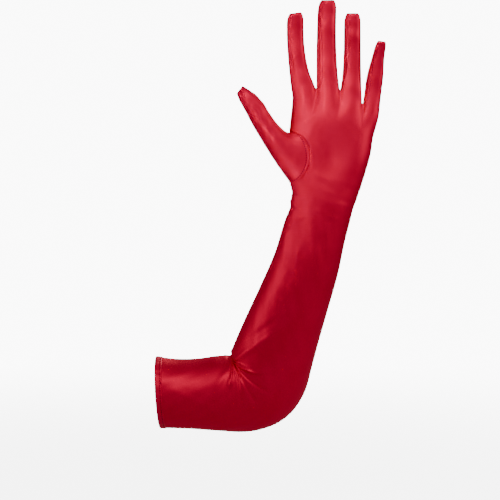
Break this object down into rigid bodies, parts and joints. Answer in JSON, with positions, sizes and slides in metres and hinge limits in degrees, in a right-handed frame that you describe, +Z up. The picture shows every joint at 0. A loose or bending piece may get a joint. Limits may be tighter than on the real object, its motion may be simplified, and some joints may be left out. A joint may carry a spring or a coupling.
{
  "type": "long dress glove",
  "caption": "Long above-elbow satin dress glove for a left hand, shaped as worn on a bent arm with the hand open.",
  "frame": {"origin": "centre of the arm opening, where the glove's mouth sits round the upper arm", "axes": "+Z up along the raised hand, -X out of the arm opening, -Y the way the palm faces"},
  "size_m": [0.2191, 0.1034, 0.4119],
  "materials": {
    "satin": "glossy red satin",
    "hem_satin": "red satin, doubled and turned"
  },
  "bodies": {
    "root": {"palm_side": "satin", "back_side": "satin", "fourchette_index_middle": "satin", "fourchette_middle_ring": "satin", "fourchette_ring_little": "satin", "thumb_palm_side": "satin", "thumb_back_side": "satin", "hem_band": "hem_satin"}
  },
  "joints": []
}
